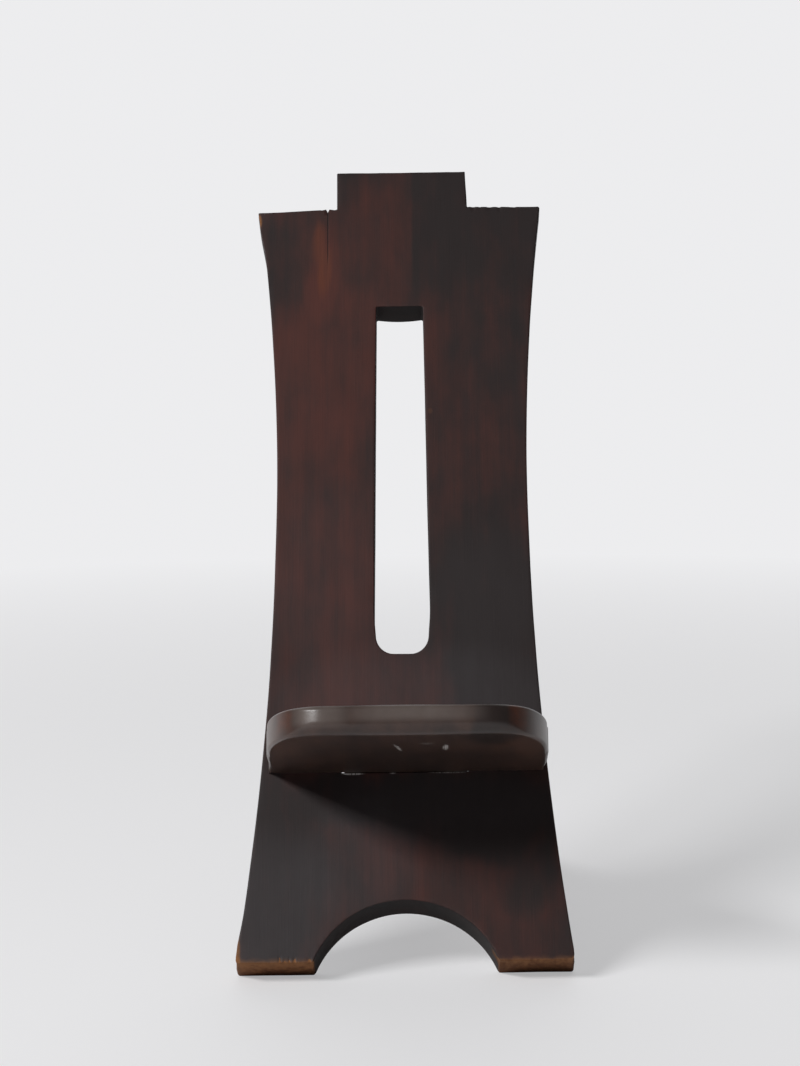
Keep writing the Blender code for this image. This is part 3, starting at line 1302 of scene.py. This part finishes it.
    def build(self) -> bpy.types.Object:
        """Make, wear and finish the board.

        Returns:
            The finished piece.
        """
        bm = self.solid()
        stand_on_floor(bm, self.place)
        bmesh.ops.recalc_face_normals(bm, faces=bm.faces)
        soften(bm, self.shoulder_corners(bm), self.corner_round, self.corner_segments)
        soften(bm, self.arrises(bm), self.arris, self.arris_segments)
        half = self.base_width / 2
        split_lines = [-self.split_across + cut * self.split_line for cut in self.split_cuts]
        slice_across(bm, Axis.ACROSS, spread(-half, half, self.cell) + split_lines)
        slice_across(bm, Axis.ALONG, [*self.foot_cuts, *spread(0.0, self.length, self.cell)])
        slice_across(bm, Axis.DEPTH, spread(0.0, self.foot_thickness, self.cell))
        for band in self.fine_bands:
            slice_across(bm, Axis.ACROSS, spread(band.low[0], band.high[0], band.cell), band.holds)
            slice_across(bm, Axis.ALONG, spread(band.low[2], band.high[2], band.cell), band.holds)
        bmesh.ops.dissolve_degenerate(bm, dist=SLIVER, edges=bm.edges)
        self.mark_sawn(bm)
        self.open_split(bm)
        self.warp(bm)
        self.wear(bm)
        piece = finish_piece("carved_back_board", bm, self.place, self.finish.paint(self.place))
        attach(piece, "back")
        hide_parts("back_board")
        return piece


@dataclass
class SeatBoard:
    """The board that is sat on, with its shoulders, tongue and tail."""

    # Where it leaves the back board, and at which angles
    root: Vector
    back_lean: float
    slope: float

    # Main sizes
    thickness: float = 0.030
    front_width: float = 0.164
    corner_width: float = 0.065
    corner_length: float = 0.135
    corner_power: float = 2.2
    side_length: float = 0.113
    rear_width: float = 0.297
    tongue_width: float = 0.134
    tail_taper: float = 0.030
    heel_flat: float = 0.030
    fit_gap: float = 0.0003

    # Arrises, lower and upper
    side_arrises: Point = (0.0035, 0.0025)
    front_arrises: Point = (0.0140, 0.0060)
    tail_arrises: Point = (0.0020, 0.0020)
    joint_arrises: Point = (0.0006, 0.0006)
    front_turn: Span = (0.50, 1.00)

    # Out of true
    tongue_shift: float = 0.0016
    paddle_shift: float = 0.0030
    paddle_blend: Span = (0.0, -0.05)
    paddle_free: Span = (-0.004, -0.03)
    tail_free: Span = (0.075, 0.11)

    # Fineness of the mesh
    arc_steps: int = 10
    corner_steps: int = 36
    edge_step: float = 0.008
    cell: float = 0.007
    broad_turn: float = 0.9999
    finish: StainedWood = field(
        default_factory=lambda: StainedWood(
            "dark_seat_stain",
            black=(0.0185, 0.0118, 0.0102),
            red=(0.0640, 0.0320, 0.0230),
            shine=0.50,
            roughness=0.33,
            base_tone=0.50,
            cloud_shift=(3.7, 1.1, 0.4),
            patches=(
                StainPatch(0.098, 0.235, 0.028, 0.060, -0.55),
                StainPatch(-0.128, 0.170, 0.030, 0.090, 0.35),
                StainPatch(0.132, 0.160, 0.024, 0.070, 0.35),
                # Painted shade: the underside is darker towards the back board.
                StainPatch(0.010, 0.050, 0.220, 0.120, -0.08, below=0.010),
            ),
            thin_places=(
                StainPatch(-0.120, 0.218, 0.014, 0.030, 0.30, above=0.008),
                StainPatch(0.118, 0.225, 0.014, 0.030, 0.48, above=0.008),
            ),
            # Painted sheen: the front edge's upper half is painted paler grey, partly wear and partly the
            # lamp's sheen, with a painted highlight at the left corner.
            rubbed_sheen_places=(
                StainPatch(0.012, 0.256, 0.082, 0.080, 0.85, above=0.013),
                StainPatch(-0.084, 0.246, 0.034, 0.060, 0.85, above=0.010),
            ),
            scuff_and_glints=(
                StainPatch(-0.0047, 0.157, 0.0026, 0.026, 0.50, -0.167, below=0.006),
                StainPatch(0.0450, 0.157, 0.0046, 0.021, 0.65, below=0.006),
                StainPatch(0.0265, 0.182, 0.0085, 0.008, 0.20, below=0.006),
            ),
        )
    )
    work: HandWork = field(default_factory=lambda: HandWork(seed=5.3))

    @property
    def place(self) -> Matrix:
        """The board's place in the chair: across, along to the rear, and up off its underside."""
        return Matrix.Translation(self.root) @ Matrix.Rotation(-self.slope, 4, "X")

    @property
    def grain_place(self) -> Matrix:
        """Axes for the finish: across, up off the underside, and along towards the front."""
        return self.place @ Matrix.Rotation(pi / 2, 4, "X")

    @property
    def reach(self) -> float:
        """Length of the paddle in front of the back board."""
        return self.corner_length + self.side_length

    @property
    def tail_length(self) -> float:
        """Length from the back board's front face to the tail's end."""
        heel = self.heel_flat * sin(self.slope) * cos(self.slope)
        return (self.root.z + heel) / sin(self.slope)

    def outline(self) -> list[Point]:
        """The plan as a ring, from the front edge round the tail and back.

        Returns:
            The ring's points, across and towards the rear.
        """
        front, wide, long = self.front_width / 2, self.corner_width, self.corner_length
        swell = 2.0 / self.corner_power
        edge = [(x, -self.reach) for x in spread(0.0, front, self.edge_step)]
        corner = [
            (front + wide * sin(turn) ** swell, -self.reach + long * (1 - cos(turn) ** swell))
            for turn in quarter_turns(self.corner_steps)
        ]
        tongue, tail = self.tongue_width / 2, (self.tongue_width - self.tail_taper) / 2
        levels = spread(-self.side_length, -self.fit_gap, self.edge_step)
        side = [(self.rear_width / 2, y) for y in levels]
        shoulder = [(self.rear_width / 2, -self.fit_gap), (tongue, -self.fit_gap)]
        half = edge + corner + side + shoulder + [(tail, self.tail_length)]
        return half + [(-x, y) for x, y in reversed(half)]

    def arris_pair(self, point: Point, normal: Vector) -> Point:
        """Lower and upper arris radius at a place on the plan.

        Args:
            point: place on the outline.
            normal: direction that the edge faces there.

        Returns:
            The two radii.
        """
        if point[1] > self.fit_gap:
            return self.tail_arrises
        if point[1] > -2 * self.fit_gap:
            return self.joint_arrises
        share = smooth_share(*self.front_turn, -normal.y)
        pairs = zip(self.side_arrises, self.front_arrises)
        low, high = (side + (front - side) * share for side, front in pairs)
        return low, high

    @staticmethod
    def facings(ring: Sequence[Point]) -> list[Vector]:
        """Directions that the plan's edge faces.

        Args:
            ring: the plan's points.

        Returns:
            One direction for each point.
        """
        normals = []
        for index, point in enumerate(ring):
            before, after = Vector(ring[index - 1]), Vector(ring[(index + 1) % len(ring)])
            along = (after - Vector(point)).normalized() + (Vector(point) - before).normalized()
            normals.append(Vector((along.y, -along.x)).normalized())
        return normals

    def edge_spot(self, point: Point, normal: Vector, turn: float, upper: bool) -> Vector:
        """Where the rounded edge stands over a place on the plan.

        Args:
            point: place on the outline.
            normal: direction that the edge faces there.
            turn: how far round the arris, up to a quarter turn.
            upper: whether it is the upper arris.

        Returns:
            The spot.
        """
        radius = self.arris_pair(point, normal)[upper]
        inset, rise = radius * (1 - sin(turn)), radius * (1 - cos(turn))
        height = self.thickness - rise if upper else rise
        at_joint = abs(point[1] + self.fit_gap) < self.fit_gap / 2
        cant = tan(self.back_lean - self.slope) * at_joint
        return Vector((point[0] - normal.x * inset, point[1] - normal.y * inset + height * cant, height))

    def solid(self) -> bmesh.types.BMesh:
        """The board with rounded arrises, raised ring by ring from its underside.

        Returns:
            The closed mesh in the board's own axes.
        """
        bm = bmesh.new()
        number = bm.verts.layers.int.new("number")
        ring = self.outline()
        normals = self.facings(ring)
        for index, (x, y) in enumerate(ring):
            vert = bm.verts.new((x, y, 0.0))
            vert[number] = index
        face = bm.faces.new(bm.verts[:])
        turns = quarter_turns(self.arc_steps)
        rows = [(turn, False) for turn in turns] + [(turn, True) for turn in reversed(turns)]
        for row, (turn, upper) in enumerate(rows):
            if row:
                grown = bmesh.ops.extrude_face_region(bm, geom=[face])["geom"]
                if row > 1:
                    bmesh.ops.delete(bm, geom=[face], context="FACES_ONLY")
                face = next(item for item in grown if isinstance(item, bmesh.types.BMFace))
            for vert in face.verts:
                index = vert[number]
                vert.co = self.edge_spot(ring[index], normals[index], turn, upper)
        bmesh.ops.recalc_face_normals(bm, faces=bm.faces)
        return bm

    def is_broad_face(self, face: bmesh.types.BMFace) -> bool:
        """Whether a face is part of the top or the underside."""
        return abs(face.normal.z) > self.broad_turn

    def wear(self, bm: bmesh.types.BMesh) -> None:
        """Move the surface by hand-tool waves and set the paddle a little aside.

        Args:
            bm: mesh in the board's own axes.
        """
        bm.normal_update()
        moves = []
        for vert in bm.verts:
            free = smooth_share(*self.paddle_free, vert.co.y) + smooth_share(*self.tail_free, vert.co.y)
            aside = self.tongue_shift + self.paddle_shift * smooth_share(*self.paddle_blend, vert.co.y)
            moves.append(vert.normal * self.work.offset_at(vert.co) * free + Vector((aside, 0.0, 0.0)))
        for vert, move in zip(bm.verts, moves):
            vert.co += move

    def build(self) -> bpy.types.Object:
        """Make, wear and finish the board.

        Returns:
            The finished piece.
        """
        bm = self.solid()
        stand_on_floor(bm, self.place)
        bm.normal_update()
        half = self.rear_width / 2
        slice_across(bm, Axis.ACROSS, spread(-half, half, self.cell), self.is_broad_face)
        slice_across(bm, Axis.DEPTH, spread(-self.reach, self.tail_length, self.cell), self.is_broad_face)
        self.wear(bm)
        piece = finish_piece("carved_seat_board", bm, self.place, self.finish.paint(self.grain_place))
        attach(piece, "seat")
        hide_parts("seat_board")
        return piece


@dataclass
class Studio:
    """A pale floor without end, one broad soft lamp and a room that is paler behind the chair."""

    # Lamp
    key_travel: Vector = field(default_factory=lambda: Vector((0.598, 0.529, -0.602)))
    key_power: float = 2.6
    key_distance: float = 10.0
    key_size: Point = (4.5, 1.6)

    # Floor
    floor_colour: Colour = (0.900, 0.898, 0.910)
    floor_roughness: float = 0.7
    floor_radius: float = 50.0
    floor_segments: int = 64
    floor_fade: Span = (1.0, 4.5)
    shadow_lift: float = 0.45

    # Room
    backdrop: Colour = (0.845, 0.845, 0.858)
    front_light: float = 0.12
    rear_light: float = 1.4
    rear_band: Span = (0.35, 0.95)
    right_dimness: float = 0.6
    right_band: Span = (0.10, 0.75)
    mirror_band: Span = (0.55, 0.97)

    def build(self) -> None:
        """Lay the floor, hang the lamp and light the room."""
        self.floor()
        self.key()
        self.room()

    def floor(self) -> bpy.types.Object:
        """A disc of pale paper.

        Returns:
            The floor.
        """
        bm = bmesh.new()
        bmesh.ops.create_circle(bm, cap_ends=True, segments=self.floor_segments, radius=self.floor_radius)
        mesh = bpy.data.meshes.new("pale_floor")
        bm.to_mesh(mesh)
        bm.free()
        mesh.materials.append(self.paper())
        floor = bpy.data.objects.new("pale_floor", mesh)
        bpy.context.scene.collection.objects.link(floor)
        return floor

    def paper(self) -> bpy.types.Material:
        """Pale paper that fades into the backdrop's colour far off and keeps the chair's shadow.

        Returns:
            The floor's material.
        """
        material = bpy.data.materials.new("pale_paper")
        material.use_nodes = True
        paint = Paint(material.node_tree)
        nodes = material.node_tree.nodes
        shader = nodes["Principled BSDF"]
        paint.feed(shader.inputs["Base Color"], self.floor_colour)
        paint.feed(shader.inputs["Roughness"], self.floor_roughness)
        spot = paint.node("ShaderNodeTexCoord", output="Object")
        fade = paint.band(paint.length(spot), *self.floor_fade)
        compass = paint.node("ShaderNodeVectorMath", {0: spot}, {"operation": "NORMALIZE"})
        straight, shine = paint.rays()
        mirrored = shine * paint.band(paint.reach(compass, Axis.DEPTH.value), *self.mirror_band)
        share = fade * (1.0 - shine + mirrored) + (straight + mirrored) * self.shadow_lift
        glow = paint.node("ShaderNodeEmission", {"Color": self.backdrop})
        faded = paint.node("ShaderNodeMixShader", {0: share, 1: Wire(paint, shader.outputs[0]), 2: glow})
        paint.feed(nodes["Material Output"].inputs["Surface"], faded)
        return material

    def key(self) -> bpy.types.Object:
        """The broad lamp at the front left.

        Returns:
            The lamp.
        """
        lamp = bpy.data.lights.new("key_lamp", "AREA")
        lamp.shape = "RECTANGLE"
        lamp.size, lamp.size_y = self.key_size
        lamp.energy = self.key_power * pi * self.key_distance**2
        key = bpy.data.objects.new("key_lamp", lamp)
        bpy.context.scene.collection.objects.link(key)
        key.rotation_euler = self.key_travel.to_track_quat("-Z", "Y").to_euler()
        key.location = -self.key_travel.normalized() * self.key_distance
        key.visible_camera = False
        return key

    def room(self) -> bpy.types.World:
        """Light from all round, dim in front of the chair and pale behind it, less so at the right.

        Returns:
            The world.
        """
        world = bpy.data.worlds.new("pale_room")
        bpy.context.scene.world = world
        world.use_nodes = True
        paint = Paint(world.node_tree)
        background = world.node_tree.nodes["Background"]
        rightward, rearward, _ = paint.parts(paint.node("ShaderNodeTexCoord", output="Generated"))
        dimmed = 1.0 - paint.band(rightward, *self.right_band) * self.right_dimness
        behind = paint.band(rearward, *self.rear_band) * dimmed
        light = paint.mix(behind, (self.front_light,) * 3, (self.rear_light,) * 3)
        straight, shine = paint.rays()
        mirrored = shine * paint.band(rearward, *self.mirror_band)
        paint.feed(background.inputs["Color"], paint.mix(straight + mirrored, light, self.backdrop))
        return world


@dataclass
class PhotoCamera:
    """The camera at the photograph's place and angle."""

    front: float
    offset: float = 0.0418
    distance: float = 3.5
    height: float = 0.97
    pitch: float = radians(7.924)
    yaw: float = radians(-0.68)
    roll: float = radians(0.85)
    focal_pixels: float = 3399.0
    far_clip: float = 100.0

    def build(self) -> bpy.types.Object:
        """Set the camera up and make it the scene's own.

        Returns:
            The camera.
        """
        reach, drop = cos(self.pitch), sin(self.pitch)
        forward = Vector((sin(self.yaw) * reach, cos(self.yaw) * reach, -drop))
        level = Vector((cos(self.yaw), -sin(self.yaw), 0.0))
        upright = level.cross(forward)
        right = level * cos(self.roll) - upright * sin(self.roll)
        up = level * sin(self.roll) + upright * cos(self.roll)
        data = bpy.data.cameras.new("photo_camera")
        data.lens = self.focal_pixels / IMAGE_HEIGHT * SENSOR_WIDTH
        data.sensor_width = SENSOR_WIDTH
        data.clip_end = self.far_clip
        camera = bpy.data.objects.new("photo_camera", data)
        bpy.context.scene.collection.objects.link(camera)
        turn = Matrix((right, up, -forward)).transposed().to_4x4()
        stand = Matrix.Translation((self.offset, self.front - self.distance, self.height))
        camera.matrix_world = stand @ turn
        bpy.context.scene.camera = camera
        return camera


def main() -> None:
    """Build the chair, the studio and the camera."""
    logging.basicConfig(level=logging.INFO, format="%(name)s: %(message)s")
    scene = bpy.context.scene
    scene.view_settings.view_transform = "Standard"
    back = BackBoard()
    seat = SeatBoard(back.seat_root, back.lean, back.seat_slope)
    for board in (back, seat):
        piece = board.build()
        log.info("%s: %d faces", piece.name, len(piece.data.polygons))
    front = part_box("back_board")[0].y
    Studio().build()
    PhotoCamera(front).build()


if __name__ == "__main__":
    main()
